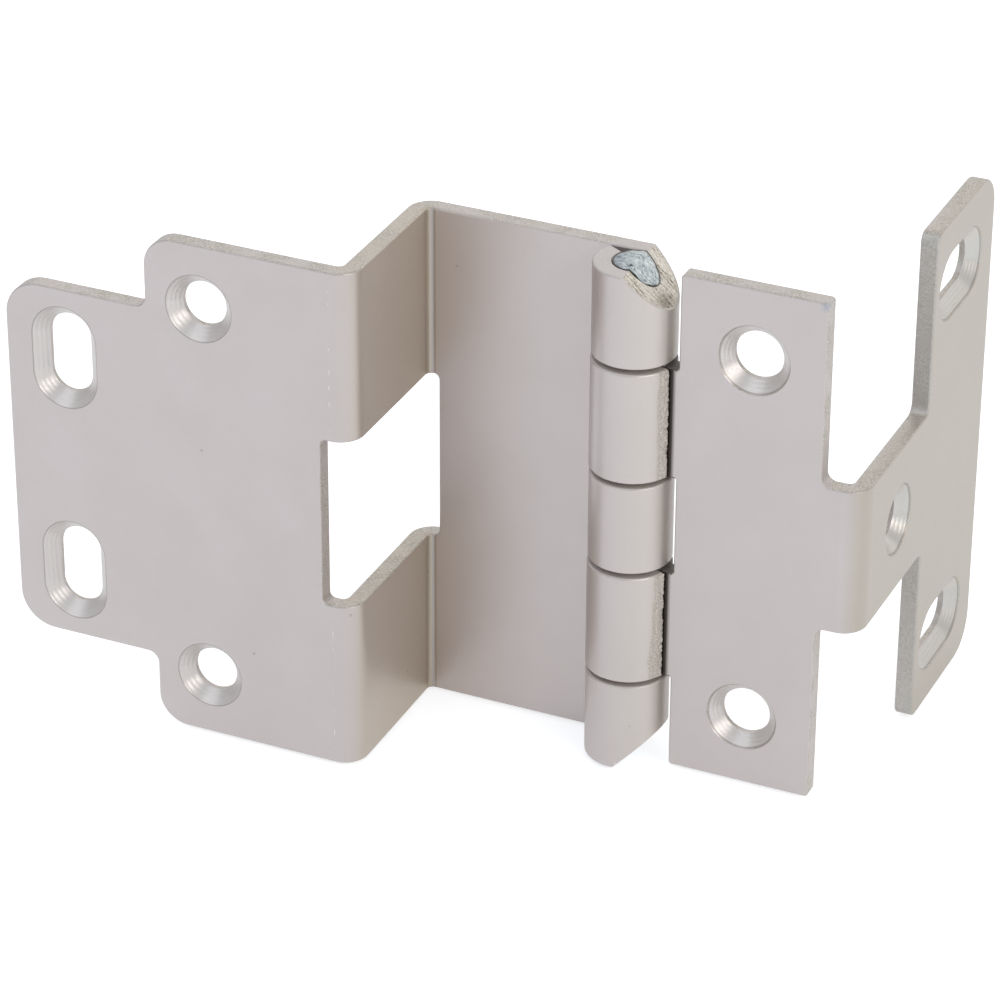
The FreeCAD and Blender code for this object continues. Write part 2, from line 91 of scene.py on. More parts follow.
def add(tree, kind, settings=None, stops=(), **inputs):
    """Adds a node. Its kind may end in an operation, as in Math.MULTIPLY. An input is a value, a socket,
    or a node, which stands for its first output. A numbered input is written n0. Stops fill a ramp."""
    kind, _, operation = kind.partition(".")
    node = tree.nodes.new("ShaderNode" + kind)
    if operation:
        node.operation = operation
    for name, value in (settings or {}).items():
        setattr(node, name, value)
    for name, value in inputs.items():
        socket = node.inputs[int(name[1:]) if name[1:].isdigit() else name.replace("_", " ")]
        if isinstance(value, bpy.types.Node):
            value = value.outputs[0]
        if isinstance(value, bpy.types.NodeSocket):
            tree.links.new(value, socket)
        else:
            socket.default_value = value
    for k, (place, colour) in enumerate(stops):
        elements = node.color_ramp.elements
        element = elements[k] if k < 2 else elements.new(place)
        element.position = place
        element.color = hex_colour(colour)
    return node


def new_material(name):
    material = bpy.data.materials.new(name)
    material.use_nodes = True
    material.node_tree.nodes.clear()
    return material, material.node_tree


def hole_distance(tree, place, centre, run, plane):
    """Distance in metres from a hole's axis, or a slot's middle line, in the plane of its outline.
    The holes come in pairs, so the lower half is folded over onto the upper half."""
    lower = add(tree, "VectorMath.MULTIPLY", n0=place, n1=(1, 1, -1))
    folded = add(tree, "VectorMath.MAXIMUM", n0=place, n1=lower)
    moved = add(tree, "VectorMath.SUBTRACT", n0=folded, n1=[c * MM for c in centre])
    near = add(tree, "VectorMath.ABSOLUTE", n0=moved)
    past = add(tree, "VectorMath.SUBTRACT", n0=near, n1=[c * MM for c in run])
    beyond = add(tree, "VectorMath.MAXIMUM", n0=past, n1=(0, 0, 0))
    flat = add(tree, "VectorMath.MULTIPLY", n0=beyond, n1=plane)
    return add(tree, "VectorMath.LENGTH", n0=flat).outputs["Value"]


def barrel_distance(tree, place):
    """Distance in metres from the pin's axis."""
    moved = add(tree, "VectorMath.SUBTRACT", n0=place, n1=AXIS * MM)
    flat = add(tree, "VectorMath.MULTIPLY", n0=moved, n1=(1, 1, 0))
    return add(tree, "VectorMath.LENGTH", n0=flat).outputs["Value"]


def sheared_edges(tree, normal, spot, step, barrel):
    """Two masks: the faces that show the sheet's thickness, and the knuckles' smoother ends."""
    facing = add(tree, "SeparateXYZ", n0=add(tree, "VectorMath.ABSOLUTE", n0=normal)).outputs
    up = add(tree, "Math.GREATER_THAN", n0=facing[2], n1=FACES)
    # The step, the wrapped plate and the barrel face sideways with a whole side, so they are left out.
    wrapped = add(tree, "Math.GREATER_THAN", n0=spot[0], n1=WRAP_START * MM)
    whole = add(tree, "Math.MAXIMUM", n0=add(tree, "Math.MAXIMUM", n0=step, n1=wrapped), n1=barrel)
    # The knuckles' ends are nearly smooth.
    ends = add(tree, "Math.MULTIPLY", n0=up, n1=barrel)
    up = add(tree, "Math.MULTIPLY_ADD", n0=ends, n1=-0.65, n2=up)
    sideways = add(tree, "Math.GREATER_THAN", n0=facing[0], n1=FACES)
    sideways = add(tree, "Math.SUBTRACT", n0=sideways, n1=whole)
    behind = add(tree, "Math.GREATER_THAN", n0=spot[1], n1=WRAP_FRONT * MM)
    fronted = add(tree, "Math.GREATER_THAN", n0=facing[1], n1=FACES)
    fronted = add(tree, "Math.MULTIPLY", n0=fronted, n1=behind)
    edges = add(tree, "Math.MAXIMUM", n0=up, n1=add(tree, "Math.MAXIMUM", n0=sideways, n1=fronted))
    return edges, ends


def sunk_distance(tree, place, normal):
    """Distance in metres from the nearest sunk hole, a metre more on the side where it isn't sunk. Holes
    are sunk from the front, and those of the neck and the wrapped plate from the right."""
    back = add(tree, "Math.GREATER_THAN", n0=normal[1], n1=-0.3)
    inside = add(tree, "Math.LESS_THAN", n0=normal[0], n1=0.3)
    nearest = 1.0
    for centre, run, plane in SUNK_HOLES:
        behind = back if plane == FACING_FRONT else inside
        hole = add(tree, "Math.ADD", n0=hole_distance(tree, place, centre, run, plane), n1=behind)
        nearest = add(tree, "Math.MINIMUM", n0=nearest, n1=hole)
    return nearest


def corner_painted_shade(tree, place, colour):
    """The coat's colour with brownish painted shade in the inner corner beside the step, and a mask
    of what lies in front of that corner."""
    corner = add(tree, "VectorMath.SUBTRACT", n0=place, n1=[c * MM for c in (*INNER_CORNER, 0)])
    inside = add(tree, "SeparateXYZ", n0=corner).outputs
    right = add(tree, "Math.GREATER_THAN", n0=inside[0], n1=-0.6 * MM)
    front = add(tree, "Math.LESS_THAN", n0=inside[1], n1=0.6 * MM)
    inner = add(tree, "Math.MULTIPLY", n0=right, n1=front)
    away = add(tree, "VectorMath.MULTIPLY", n0=corner, n1=(1, 1, 0))
    away = add(tree, "VectorMath.LENGTH", n0=away).outputs["Value"]
    # Painted shade, deepest at the corner and gone 16 mm away from it.
    corner_shade = add(tree, "MapRange", Value=away, From_Min=16 * MM, From_Max=0.0, To_Max=0.3)
    # The fold's two edges get narrow lines of painted shade beside its bright one.
    crease_shade = add(tree, "Math.COMPARE", n0=away, n1=0.9 * MM, n2=0.08 * MM)
    corner_shade = add(tree, "Math.MAXIMUM", n0=corner_shade, n1=add(tree, "Math.MULTIPLY", n0=crease_shade, n1=0.75))
    corner_shade = add(tree, "Math.MULTIPLY", n0=corner_shade, n1=inner)
    corner_shade_brown = hex_colour("a38e74")
    colour = add(tree, "Mix", MIX_COLOURS, n0=corner_shade, n6=colour, n7=corner_shade_brown).outputs[2]
    # The fold itself is mixed half way to a cooler, darker grey.
    fold_grey_mask = add(tree, "Math.LESS_THAN", n0=away, n1=0.82 * MM)
    fold_grey_mask = add(tree, "Math.MULTIPLY", n0=fold_grey_mask, n1=inner)
    share = add(tree, "Math.MULTIPLY", n0=fold_grey_mask, n1=0.5)
    grey = hex_colour("a5a3a2")
    return add(tree, "Mix", MIX_COLOURS, n0=share, n6=colour, n7=grey).outputs[2], front


def painted_seam_shade(tree, spot, high, curled):
    """A mask of painted shade on the frame leaf, along its curls' ends and on the ledges beside them."""
    seam = add(tree, "MapRange", Value=spot[0], From_Min=-10.0 * MM, From_Max=-10.5 * MM, To_Max=0.95)
    leaf = add(tree, "Math.COMPARE", n0=spot[1], n1=LEAF_FRONT * MM, n2=0.12 * MM)
    right = add(tree, "Math.GREATER_THAN", n0=spot[0], n1=-11.6 * MM)
    leaf = add(tree, "Math.MULTIPLY", n0=leaf, n1=right)
    share = add(tree, "Math.MULTIPLY", n0=seam, n1=add(tree, "Math.MULTIPLY", n0=leaf, n1=curled))
    # Painted shade on the ledges where the slits end beside the curls.
    ledge = add(tree, "Math.ABSOLUTE", n0=add(tree, "Math.SUBTRACT", n0=high, n1=CURL_MIDDLE * MM))
    ledge = add(tree, "Math.COMPARE", n0=ledge, n1=CURL_HALF * MM, n2=0.25 * MM)
    beside = add(tree, "Math.COMPARE", n0=spot[0], n1=-10.8 * MM, n2=0.9 * MM)
    depth = add(tree, "Math.GREATER_THAN", n0=spot[1], n1=-2.6 * MM)
    ledge = add(tree, "Math.MULTIPLY", n0=ledge, n1=add(tree, "Math.MULTIPLY", n0=beside, n1=depth))
    return add(tree, "Math.MAXIMUM", n0=share, n1=add(tree, "Math.MULTIPLY", n0=ledge, n1=0.75))


def satin_nickel_coat():
    """Folded steel sheet with a baked satin nickel coloured coat, metal flake in a clear binder. It has
    a soft grey sheen with a warm cast and a fine sandy grain. The sheared edges stay torn and grainy
    under it, and the countersinks keep the rings that their tool cut."""
    material, tree = new_material("satin_nickel_coat")
    texture = add(tree, "TexCoord")
    place = texture.outputs["Object"]

    # Flake and orange peel are about 0.3 mm across, and cloudy changes of thickness about 9 mm.
    flake = add(tree, "TexNoise", Vector=place, Scale=1 / (0.3 * MM), Detail=2.0)
    cloud = add(tree, "TexNoise", Vector=place, Scale=1 / (9 * MM), Detail=2.0)
    colour = add(tree, "ValToRGB", Fac=cloud, stops=[(0.3, "cfc7c5"), (0.7, "d2cac9")])

    # Painted shade darkens the inner corner beside the step.
    colour, front = corner_painted_shade(tree, place, colour)

    # Painted warm light: the wrapped plate, which faces right, is tinted yellower.
    spot = add(tree, "SeparateXYZ", n0=place).outputs
    plate = add(tree, "MapRange", Value=spot[0], From_Min=12.4 * MM, From_Max=14.4 * MM, To_Max=0.5)
    warm_light_yellow = hex_colour("aea78f")
    colour = add(tree, "Mix", MIX_COLOURS, n0=plate, n6=colour, n7=warm_light_yellow).outputs[2]

    # Painted warm light on the step's side, from the outer fold on.
    step = add(tree, "Math.COMPARE", n0=spot[0], n1=STEP_MIDDLE * MM, n2=STEP_REACH * MM)
    step_warm_light = add(tree, "MapRange", Value=spot[1], From_Min=-19.8 * MM, From_Max=-17.6 * MM, To_Max=0.4)
    step_warm_light = add(tree, "Math.MULTIPLY", n0=step_warm_light, n1=add(tree, "Math.MULTIPLY", n0=step, n1=front))
    warm_light_sand = hex_colour("c6b696")
    colour = add(tree, "Mix", MIX_COLOURS, n0=step_warm_light, n6=colour, n7=warm_light_sand).outputs[2]

    # The barrel gets painted warm light to the right, and painted shade in the gap beside the frame
    # leaf.
    barrel = add(tree, "Math.LESS_THAN", n0=barrel_distance(tree, place), n1=BARREL_REACH * MM)
    warm = add(tree, "MapRange", Value=spot[0], From_Min=-17.5 * MM, From_Max=-12.0 * MM, To_Max=0.3)
    warm = add(tree, "Math.MULTIPLY", n0=warm, n1=barrel)
    warm_light_straw = hex_colour("e2dccb")
    colour = add(tree, "Mix", MIX_COLOURS, n0=warm, n6=colour, n7=warm_light_straw).outputs[2]
    beside = add(tree, "Math.GREATER_THAN", n0=spot[0], n1=-13.2 * MM)
    gap_shade = add(tree, "MapRange", Value=spot[1], From_Min=-2.0 * MM, From_Max=0.4 * MM, To_Max=0.3)
    gap_shade = add(tree, "Math.MULTIPLY", n0=gap_shade, n1=add(tree, "Math.MULTIPLY", n0=beside, n1=barrel))
    gap_shade_colour = hex_colour("968b7e")
    colour = add(tree, "Mix", MIX_COLOURS, n0=gap_shade, n6=colour, n7=gap_shade_colour).outputs[2]

    # The countersinks are brighter: partly cut so, partly painted light that lifts the shade on their
    # walls.
    normal = add(tree, "SeparateXYZ", n0=texture.outputs["Normal"]).outputs
    nearest = sunk_distance(tree, place, normal)
    sunk = add(tree, "Math.LESS_THAN", n0=nearest, n1=SINK_REACH * MM)
    share = add(tree, "Math.MULTIPLY", n0=sunk, n1=0.5)
    cut_bright_and_painted_light = hex_colour("e9e6e2")
    colour = add(tree, "Mix", MIX_COLOURS, n0=share, n6=colour, n7=cut_bright_and_painted_light).outputs[2]

    # The torn grain of a sheared edge is about 0.2 mm across, with brighter specks where the coat beads,
    # and patches a few millimetres long where the punch left it smooth.
    edge, ends = sheared_edges(tree, texture.outputs["Normal"], spot, step, barrel)
    edge = add(tree, "Math.SUBTRACT", n0=edge, n1=sunk)
    edge = add(tree, "Math.MAXIMUM", n0=edge, n1=0.0)
    grain = add(tree, "TexNoise", Vector=place, Scale=1 / (0.22 * MM), Detail=3.0, Roughness=0.6)
    patch = add(tree, "TexNoise", Vector=place, Scale=1 / (3 * MM), Detail=2.0)
    patch = add(tree, "MapRange", Value=patch, From_Min=0.4, From_Max=0.6, To_Min=0.35, To_Max=0.85)
    edge = add(tree, "Math.MULTIPLY", n0=edge, n1=patch)
    # The frame curls' ends are torn as well, in a band about 1.2 mm wide.
    high = add(tree, "Math.ABSOLUTE", n0=spot[2])
    curled = add(tree, "Math.COMPARE", n0=high, n1=CURL_MIDDLE * MM, n2=CURL_HALF * MM)
    band = add(tree, "Math.MULTIPLY_ADD", n0=cloud, n1=-1.5 * MM, n2=spot[0])
    band = add(tree, "MapRange", Value=band, From_Min=-12.5 * MM, From_Max=-12.3 * MM, To_Max=0.75)
    band = add(tree, "Math.MULTIPLY", n0=band, n1=add(tree, "Math.MULTIPLY", n0=barrel, n1=curled))
    before = add(tree, "Math.LESS_THAN", n0=spot[1], n1=-2.5 * MM)
    band = add(tree, "Math.MULTIPLY", n0=band, n1=before)
    edge = add(tree, "Math.MAXIMUM", n0=edge, n1=band)
    torn = [(0.34, "a0968b"), (0.7, "ebe6df"), (0.44, "c1b9af"), (0.57, "cfc8bf")]
    torn = add(tree, "ValToRGB", Fac=grain, stops=torn)
    colour = add(tree, "Mix", MIX_COLOURS, n0=edge, n6=colour, n7=torn)

    # The wrapped plate's front edge was sheared smoother, and looks cool and silvery.
    forward = add(tree, "Math.LESS_THAN", n0=normal[1], n1=-FACES)
    wrapped = add(tree, "Math.GREATER_THAN", n0=spot[1], n1=WRAP_FRONT * MM)
    silver = add(tree, "Math.MULTIPLY", n0=forward, n1=wrapped)
    share = add(tree, "Math.MULTIPLY", n0=silver, n1=0.4)
    cool = hex_colour("c8cbca")
    colour = add(tree, "Mix", MIX_COLOURS, n0=share, n6=colour.outputs[2], n7=cool)

    # The countersink tool leaves rings. Real ones are about 0.15 mm apart, and 0.4 mm here so that they
    # show. Its rim gets a thin dark line of painted shade.
    wobble = add(tree, "Math.MULTIPLY_ADD", n0=cloud, n1=0.6 * MM, n2=nearest)
    turns = add(tree, "Math.MULTIPLY", n0=wobble, n1=2 * math.pi / (RING_PITCH * MM))
    ring = add(tree, "Math.MULTIPLY", n0=add(tree, "Math.SINE", n0=turns), n1=sunk)
    # Painted shade along the countersink's rim.
    rim = add(tree, "Math.COMPARE", n0=nearest, n1=RIM_RADIUS * MM, n2=0.07 * MM)
    share = add(tree, "Math.MULTIPLY", n0=rim, n1=0.45)
    rim_shade_colour = hex_colour("6f665e")
    colour = add(tree, "Mix", MIX_COLOURS, n0=share, n6=colour.outputs[2], n7=rim_shade_colour)

    # A broken painted highlight runs where the outer fold of the step begins.
    line = add(tree, "Math.COMPARE", n0=spot[0], n1=-48.7 * MM, n2=0.07 * MM)
    plated = add(tree, "Math.LESS_THAN", n0=spot[1], n1=-19.7 * MM)
    line = add(tree, "Math.MULTIPLY", n0=line, n1=plated)
    broken = add(tree, "TexNoise", Vector=place, Scale=1 / (1.1 * MM), Detail=2.0)
    broken = add(tree, "MapRange", Value=broken, From_Min=0.56, From_Max=0.7, To_Max=0.5)
    share = add(tree, "Math.MULTIPLY", n0=line, n1=broken)
    fold_highlight = hex_colour("fbfaf8")
    colour = add(tree, "Mix", MIX_COLOURS, n0=share, n6=colour.outputs[2], n7=fold_highlight)

    # Painted shade on the frame leaf along its curls' ends and on the ledges beside them.
    share = painted_seam_shade(tree, spot, high, curled)
    painted_shade = hex_colour("352c25")
    colour = add(tree, "Mix", MIX_COLOURS, n0=share, n6=colour.outputs[2], n7=painted_shade)

    # A few dust nibs are caught in the coat, about 8 mm apart.
    dust = add(tree, "TexVoronoi", Vector=place, Scale=1 / (8 * MM)).outputs["Distance"]
    share = add(tree, "MapRange", Value=dust, From_Min=0.035, From_Max=0.015, To_Max=0.4)
    nib = hex_colour("8b827b")
    colour = add(tree, "Mix", MIX_COLOURS, n0=share, n6=colour.outputs[2], n7=nib)

    # A bluish bare mark where one corner of the frame leaf was knocked.
    knock = add(tree, "VectorMath.DISTANCE", n0=place, n1=(8.9 * MM, -2.4 * MM, 34.5 * MM))
    knock = add(tree, "Math.MULTIPLY_ADD", n0=grain, n1=2.4 * MM, n2=knock.outputs["Value"])
    knock = add(tree, "MapRange", Value=knock, From_Min=1.9 * MM, From_Max=1.4 * MM)
    share = add(tree, "Math.MULTIPLY", n0=knock, n1=0.5)
    bare = hex_colour("9aa7b8")
    colour = add(tree, "Mix", MIX_COLOURS, n0=share, n6=colour.outputs[2], n7=bare)

    rough = add(tree, "MapRange", Value=flake, From_Min=0.3, From_Max=0.7, To_Min=0.32, To_Max=0.42)
    rough = add(tree, "Math.MULTIPLY_ADD", n0=edge, n1=0.14, n2=rough)
    height = add(tree, "Math.MULTIPLY", n0=flake, n1=0.10)
    rugged = add(tree, "Math.MULTIPLY", n0=grain, n1=edge)
    height = add(tree, "Math.MULTIPLY_ADD", n0=rugged, n1=0.6, n2=height)
    height = add(tree, "Math.MULTIPLY_ADD", n0=ring, n1=0.22, n2=height)
    bump = add(tree, "Bump", Strength=0.6, Distance=0.05 * MM, Height=height)
    # Beaded coat on a torn edge or a knuckle's end scatters more light than the smooth flake does.
    metallic = add(tree, "Math.MULTIPLY_ADD", n0=edge, n1=-0.2, n2=0.65)
    # The painted shade in the barrel's gap is also made less metallic.
    dulled = add(tree, "Math.MAXIMUM", n0=ends, n1=gap_shade)
    metallic = add(tree, "Math.MULTIPLY_ADD", n0=dulled, n1=-0.4, n2=metallic)
    looks = {"Base_Color": colour.outputs[2], "Metallic": metallic, "Roughness": rough}
    shader = add(tree, "BsdfPrincipled", Normal=bump, **looks)
    add(tree, "OutputMaterial", Surface=shader)
    return material


def streaks(tree, place, length, width):
    """Noise drawn out along the sloped cut, as a shear leaves it. Length and width in millimetres."""
    scale = (1 / (length * MM), 1 / (width * MM), 1 / (length * MM))
    stretched = add(tree, "VectorMath.MULTIPLY", n0=place, n1=scale)
    return add(tree, "TexNoise", Vector=stretched, Scale=1.0, Detail=4.0, Roughness=0.65)


def sheared_curl():
    """Steel sheet under the coat, where the barrel's tips were sheared off at a slope. It looks beige,
    torn and streaked."""
    material, tree = new_material("sheared_curl_coated")
    place = add(tree, "TexCoord").outputs["Object"]
    line = add(tree, "Math.MULTIPLY", n0=streaks(tree, place, 2.6, 0.3), n1=0.65)
    speck = add(tree, "TexNoise", Vector=place, Scale=1 / (0.3 * MM), Detail=2.0)
    tear = add(tree, "Math.MULTIPLY_ADD", n0=speck, n1=0.35, n2=line)
    tones = [(0.36, "6b6257"), (0.64, "fffcf6"), (0.42, "bbb0a1"), (0.49, "dcd4c8"), (0.56, "e9e3da")]
    colour = add(tree, "ValToRGB", Fac=tear, stops=tones)
    # Painted shade of the hollow that the shear pressed below the pin; the hollow itself is not
    # modelled.
    hollow_shade = add(tree, "VectorMath.DISTANCE", n0=place, n1=(-11.9 * MM, -2.3 * MM, 30.6 * MM))
    hollow_shade = add(tree, "Math.MULTIPLY_ADD", n0=speck, n1=1.0 * MM, n2=hollow_shade.outputs["Value"])
    share = add(tree, "MapRange", Value=hollow_shade, From_Min=2.3 * MM, From_Max=0.6 * MM, To_Max=0.7)
    painted_shade = hex_colour("7a6d60")
    colour = add(tree, "Mix", MIX_COLOURS, n0=share, n6=colour, n7=painted_shade).outputs[2]
    bump = add(tree, "Bump", Strength=0.7, Distance=0.08 * MM, Height=tear)
    shader = add(tree, "BsdfPrincipled", Base_Color=colour, Metallic=0.75, Roughness=0.5, Normal=bump)
    add(tree, "OutputMaterial", Surface=shader)
    return material


def sheared_pin():
    """The pin's sheared end, left bare: pale blue grey steel with dark scratches along the cut."""
    material, tree = new_material("sheared_pin_steel")
    place = add(tree, "TexCoord").outputs["Object"]
    line = add(tree, "Math.MULTIPLY", n0=streaks(tree, place, 1.4, 0.22), n1=0.5)
    speck = add(tree, "TexNoise", Vector=place, Scale=1 / (0.5 * MM), Detail=5.0, Roughness=0.7)
    tear = add(tree, "Math.MULTIPLY_ADD", n0=speck, n1=0.5, n2=line)
    tones = [(0.37, "2b2f32"), (0.64, "ffffff"), (0.41, "747e84"), (0.46, "b6c0c3"), (0.56, "e0e6e6")]
    colour = add(tree, "ValToRGB", Fac=tear, stops=tones)
    # The cut's high left side gets painted shade, darker and bluer.
    spot = add(tree, "SeparateXYZ", n0=place).outputs
    high = add(tree, "MapRange", Value=spot[0], From_Min=-15.6 * MM, From_Max=-18.8 * MM, To_Max=0.5)
    blue = hex_colour("818d99")
    colour = add(tree, "Mix", MIX_COLOURS, n0=high, n6=colour, n7=blue).outputs[2]
    # Painted shade lies in the ring between the pin and the curl.
    outward = add(tree, "Math.MULTIPLY_ADD", n0=speck, n1=0.3 * MM, n2=barrel_distance(tree, place))
    uneven = add(tree, "TexNoise", Vector=place, Scale=1 / (2.5 * MM), Detail=1.0)
    outward = add(tree, "Math.MULTIPLY_ADD", n0=uneven, n1=0.7 * MM, n2=outward)
    painted_shade = add(tree, "MapRange", Value=outward, From_Min=3.24 * MM, From_Max=3.36 * MM)
    dark = hex_colour("2b2a29")
    colour = add(tree, "Mix", MIX_COLOURS, n0=painted_shade, n6=colour, n7=dark)
    bump = add(tree, "Bump", Strength=0.8, Distance=0.08 * MM, Height=tear)
    colour = colour.outputs[2]
    shader = add(tree, "BsdfPrincipled", Base_Color=colour, Metallic=0.8, Roughness=0.42, Normal=bump)
    add(tree, "OutputMaterial", Surface=shader)
    return material


def drawn_steel():
    """The pin's side, drawn steel wire dulled by handling. Only its dark shine shows in the slits."""
    material, tree = new_material("drawn_steel_wire")
    place = add(tree, "TexCoord").outputs["Object"]
    # Drawing lines run along the wire, about 0.2 mm apart.
    scale = (1 / (0.2 * MM), 1 / (0.2 * MM), 1 / (4 * MM))
    drawn = add(tree, "VectorMath.MULTIPLY", n0=place, n1=scale)
    line = add(tree, "TexNoise", Vector=drawn, Scale=1.0, Detail=3.0)
    colour = add(tree, "ValToRGB", Fac=line, stops=[(0.35, "55504b"), (0.65, "7b756e")])
    rough = add(tree, "MapRange", Value=line, To_Min=0.35, To_Max=0.5)
    shader = add(tree, "BsdfPrincipled", Base_Color=colour, Metallic=1.0, Roughness=rough)
    add(tree, "OutputMaterial", Surface=shader)
    return material


def pale_floor():
    """Matt white board. The camera and reflections see it near white, with the object's shadow kept."""
    material, tree = new_material("pale_floor")
    path = add(tree, "LightPath").outputs
    board = add(tree, "BsdfDiffuse", Color=hex_colour("f2f2f2"))
    seen = add(tree, "Math.MULTIPLY", n0=path["Is Camera Ray"], n1=0.6)
    seen = add(tree, "Math.MULTIPLY_ADD", n0=path["Is Glossy Ray"], n1=0.36, n2=seen)
    glow = add(tree, "Emission", Color=hex_colour("f8fbff"), Strength=seen)
    add(tree, "OutputMaterial", Surface=add(tree, "AddShader", n0=board, n1=glow))
    return material


def set_world():
    """Even soft light from all around, and pure white behind the object."""
    world = bpy.data.worlds.new("studio")
    scene.world = world
    world.use_nodes = True
    tree = world.node_tree
    tree.nodes.clear()
    path = add(tree, "LightPath").outputs
    seen = add(tree, "Math.MAXIMUM", n0=path["Is Camera Ray"], n1=path["Is Transmission Ray"])
    soft = add(tree, "Background", Color=hex_colour("f7fbff"), Strength=0.58)
    white = add(tree, "Background", Color=(1, 1, 1, 1), Strength=1.0)
    add(tree, "OutputWorld", Surface=add(tree, "MixShader", n0=seen, n1=soft, n2=white))


def softbox(name, place, width, height, watts, colour):
    """An area lamp that faces the object."""
    light = bpy.data.lights.new(name, "AREA")
    light.shape = "RECTANGLE"
    light.size = width
    light.size_y = height
    light.energy = watts
    light.color = hex_colour(colour)[:3]
    lamp = bpy.data.objects.new(name, light)
    lamp.location = place
    lamp.rotation_euler = (-Vector(place)).to_track_quat("-Z", "Y").to_euler()
    scene.collection.objects.link(lamp)


def set_camera():
    """The photograph's camera. It looks left and down at the hinge, from the right and above."""
    yaw, pitch, roll = -24.1, 29.2, -0.3
    lens_pixels, picture_pixels, sensor = 4400.0, 1000, 36.0
    # Where the pin's middle lies as the camera sees it: right, down and ahead, in millimetres.
    seen = Vector((16.4, 1.4, 551.0))
    camera = bpy.data.cameras.new("photo_camera")
    camera.sensor_width = sensor
    camera.lens = lens_pixels / picture_pixels * sensor
    camera.clip_start = 0.01
    camera.clip_end = 20.0
    turn = Euler((math.radians(90 - pitch), 0, math.radians(-yaw))).to_matrix()
    turn = turn @ Matrix.Rotation(math.radians(-roll), 3, "Z")
    right, up, back = turn.col
    eye = AXIS - (right * seen.x - up * seen.y - back * seen.z)
    holder = bpy.data.objects.new("photo_camera", camera)
    holder.matrix_world = Matrix.LocRotScale(eye * MM, turn.to_quaternion(), None)
    scene.collection.objects.link(holder)
    scene.camera = holder


def wander(x, y, z, size):
    """Smooth noise between about -1 and 1, for a place and a size in millimetres."""
    return noise.noise(Vector((x, y, z)) / size)


def tip_height(x):
    """Height of the barrel's sheared tip above the hinge's middle, x millimetres right of the axis."""
    return HALF_HEIGHT - max(0.0, x - CREASE)


def finish_piece(name, shell, body, material):
    """Makes an object of a shell that was built in millimetres, and lets it ride on its body."""
    same_point = 0.0005
    bmesh.ops.remove_doubles(shell, verts=shell.verts, dist=same_point)
    bmesh.ops.recalc_face_normals(shell, faces=shell.faces)
    bmesh.ops.scale(shell, vec=(MM, MM, MM), verts=shell.verts)
    mesh = bpy.data.meshes.new(name)
    shell.to_mesh(mesh)
    shell.free()
    mesh.shade_smooth()
    mesh.materials.append(material)
    piece = bpy.data.objects.new(name, mesh)
    scene.collection.objects.link(piece)
    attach(piece, body)


def crust(rows, sink):
    """A closed shell on a grid of points: the points themselves, and a copy of them sunk below."""
    shell = bmesh.new()
    upper = [[shell.verts.new(point) for point in row] for row in rows]
    lower = [[shell.verts.new(Vector(point) + sink) for point in row] for row in rows]
    tall, wide = len(rows), len(rows[0])
    for i in range(tall - 1):
        for j in range(wide - 1):
            shell.faces.new((upper[i][j], upper[i][j + 1], upper[i + 1][j + 1], upper[i + 1][j]))
            shell.faces.new((lower[i][j], lower[i + 1][j], lower[i + 1][j + 1], lower[i][j + 1]))
    for i in (0, tall - 1):
        for j in range(wide - 1):
            shell.faces.new((upper[i][j], upper[i][j + 1], lower[i][j + 1], lower[i][j]))
    for j in (0, wide - 1):
        for i in range(tall - 1):
            shell.faces.new((upper[i][j], upper[i + 1][j], lower[i + 1][j], lower[i][j]))
    return shell


def curl_cut(side, material):
    """The torn, streaked face of the door curl where the tip was sheared at a slope. side is 1 on top
    and -1 below."""
    rings, steps, half_turn = 18, 140, 86.0
    inset, lift, relief, rim_drop = 0.06, 0.03, 0.10, 0.16
    rows = []
    for i in range(rings + 1):
        part = i / rings
        row = []
        for j in range(steps + 1):
            angle = math.radians(-half_turn + 2 * half_turn * j / steps)
            around = angle * 5.4
            ragged = 0.10 * wander(around, 3.0, side, 0.5) + 0.05 * wander(around, 7.0, side, 0.2)
            inner = PIN_RADIUS + 0.03
            outer = DOOR_BARREL - inset + ragged
            radius = inner + (outer - inner) * part
            x, y = radius * math.cos(angle), radius * math.sin(angle)
            streak = 0.10 * wander(x * 0.12, y, side * 4, 0.3) + 0.05 * wander(x, y, side * 9, 0.35)
            # The relief dies out at the rim, at the pin and at the crease.
            fade = max(0.0, min(1.0, 6 * part, 6 * (1 - part), 0.4 * (x - CREASE) + 0.1))
            rise = lift + max(0.0, 0.5 + streak / 0.15) * relief * fade
            # It rises at right angles to the slope, whose normal leans 45 degrees to the right.
            height = tip_height(x) + 0.7 * rise - rim_drop * part**8
            row.append((AXIS.x + x + 0.7 * rise, AXIS.y + y, side * height))
        rows.append(row)
    name = "upper_curl_cut" if side > 0 else "lower_curl_cut"
    sink = Vector((-0.15, 0, -0.35 * side))
    finish_piece(name, crust(rows, sink), "door_side", material)


def pin_cut(side, material):
    """The pin's sheared end: a slightly domed, scored face with a broken rim. side is 1 on top and
    -1 below."""
    rings, steps = 22, 120
    lift, dome, rim_drop = 0.06, 0.30, 0.2
    rows = []
    for i in range(rings + 1):
        part = i / rings
        row = []
        for j in range(steps + 1):
            angle = 2 * math.pi * (j % steps) / steps
            turn = Vector((math.cos(angle), math.sin(angle)))
            broken = 0.16 * wander(turn.x * 3, turn.y * 3, side * 2, 1.0)
            broken += 0.05 * wander(turn.x * 3, turn.y * 3, 5, 0.3)
            # The shear smeared it against the curl on the low side and left a gap on the high side.
            smeared = 0.02 + 0.12 * math.cos(angle + math.radians(40))
            x, y = turn * (PIN_RADIUS + smeared + 0.5 * broken) * part
            score = 0.12 * wander(x * 0.2, y, side * 3, 0.32) + 0.08 * wander(x, y, side * 6, 0.6)
            rise = lift + dome * (1 - part * part) + score * min(1.0, 4 * (1 - part) + 0.2)
            height = tip_height(x) + rise - rim_drop * part**10
            row.append((AXIS.x + x, AXIS.y + y, side * height))
        rows.append(row)
    name = "upper_pin_cut" if side > 0 else "lower_pin_cut"
    sink = Vector((0, 0, -0.7 * side))
    finish_piece(name, crust(rows, sink), "door_side", material)


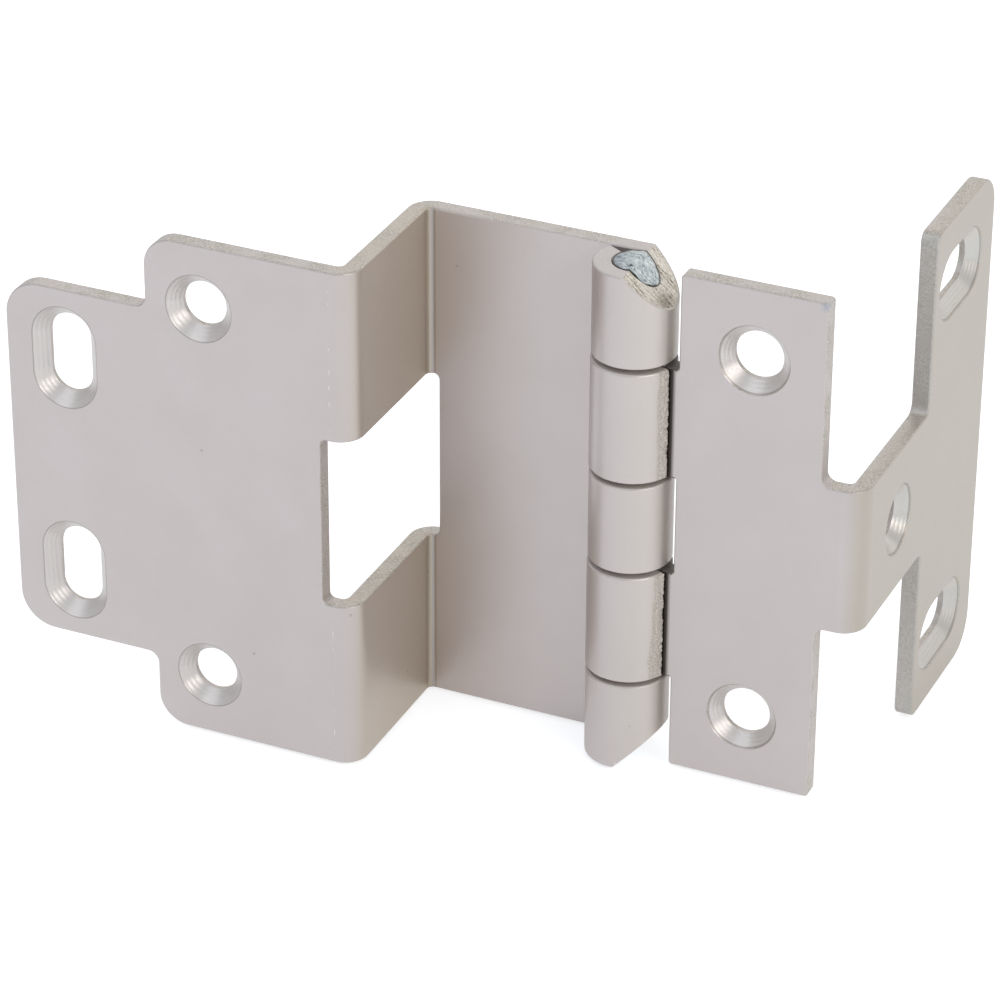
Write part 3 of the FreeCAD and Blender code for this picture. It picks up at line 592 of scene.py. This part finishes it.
def seam_burr(side, material):
    """The ragged band along a frame curl's end, in front of its leaf. side is 1 on the upper knuckle
    and -1 on the lower."""
    steps, across = 240, 14
    foot, tall, proud = 6.9, 14.9, 0.22
    end = math.degrees(math.asin(CURL_STOP / FRAME_BARREL))
    rows = []
    for i in range(steps + 1):
        z = side * (foot + tall * i / steps)
        start = end + 11.0 + 3.0 * wander(0, 0, z, 1.1) + 2.0 * wander(3, 0, z, 0.35)
        stop = end - 1.5 + 1.5 * wander(6, 0, z, 0.5)
        row = []
        for j in range(across + 1):
            part = j / across
            angle = -math.radians(start + (stop - start) * part)
            lump = 0.5 + 0.5 * wander(part * 1.2, z, side * 5, 0.22)
            lump += 0.4 * wander(part * 1.2, z, side * 7, 0.6)
            radius = FRAME_BARREL + 0.01 + proud * part * max(0.0, lump)
            row.append((AXIS.x + radius * math.cos(angle), AXIS.y + radius * math.sin(angle), z))
        rows.append(row)
    name = "upper_seam_burr" if side > 0 else "lower_seam_burr"
    sink = Vector((-0.22, 0.1, 0))
    finish_piece(name, crust(rows, sink), "frame_side", material)


coat = satin_nickel_coat()
torn = sheared_curl()
scored = sheared_pin()
for node, material in (("door_wing", coat), ("frame_wing", coat), ("hinge_pin", drawn_steel())):
    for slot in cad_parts[node].material_slots:
        slot.material = material

for side in (1, -1):
    curl_cut(side, torn)
    pin_cut(side, scored)
    seam_burr(side, coat)

floor_mesh = bpy.data.meshes.new("floor")
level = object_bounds()[0][2] - 0.1 * MM
reach = 3.0
corners = [(x * reach, y * reach, level) for x, y in ((-1, -1), (1, -1), (1, 1), (-1, 1))]
floor_mesh.from_pydata(corners, [], [(0, 1, 2, 3)])
floor_mesh.materials.append(pale_floor())
floor = bpy.data.objects.new("floor", floor_mesh)
scene.collection.objects.link(floor)

set_world()
set_camera()
softbox("overhead", (-0.32, -0.42, 0.95), 0.8, 0.8, 1.3, "f4f8ff")
softbox("front", (-0.6, -1.2, 0.25), 0.9, 0.7, 0.8, "f4f9ff")
softbox("back", (0.0, 1.3, 0.75), 2.8, 1.0, 5.2, "fffaf2")
softbox("side", (0.95, -0.45, 0.6), 0.7, 0.7, 3.4, "fffaf4")
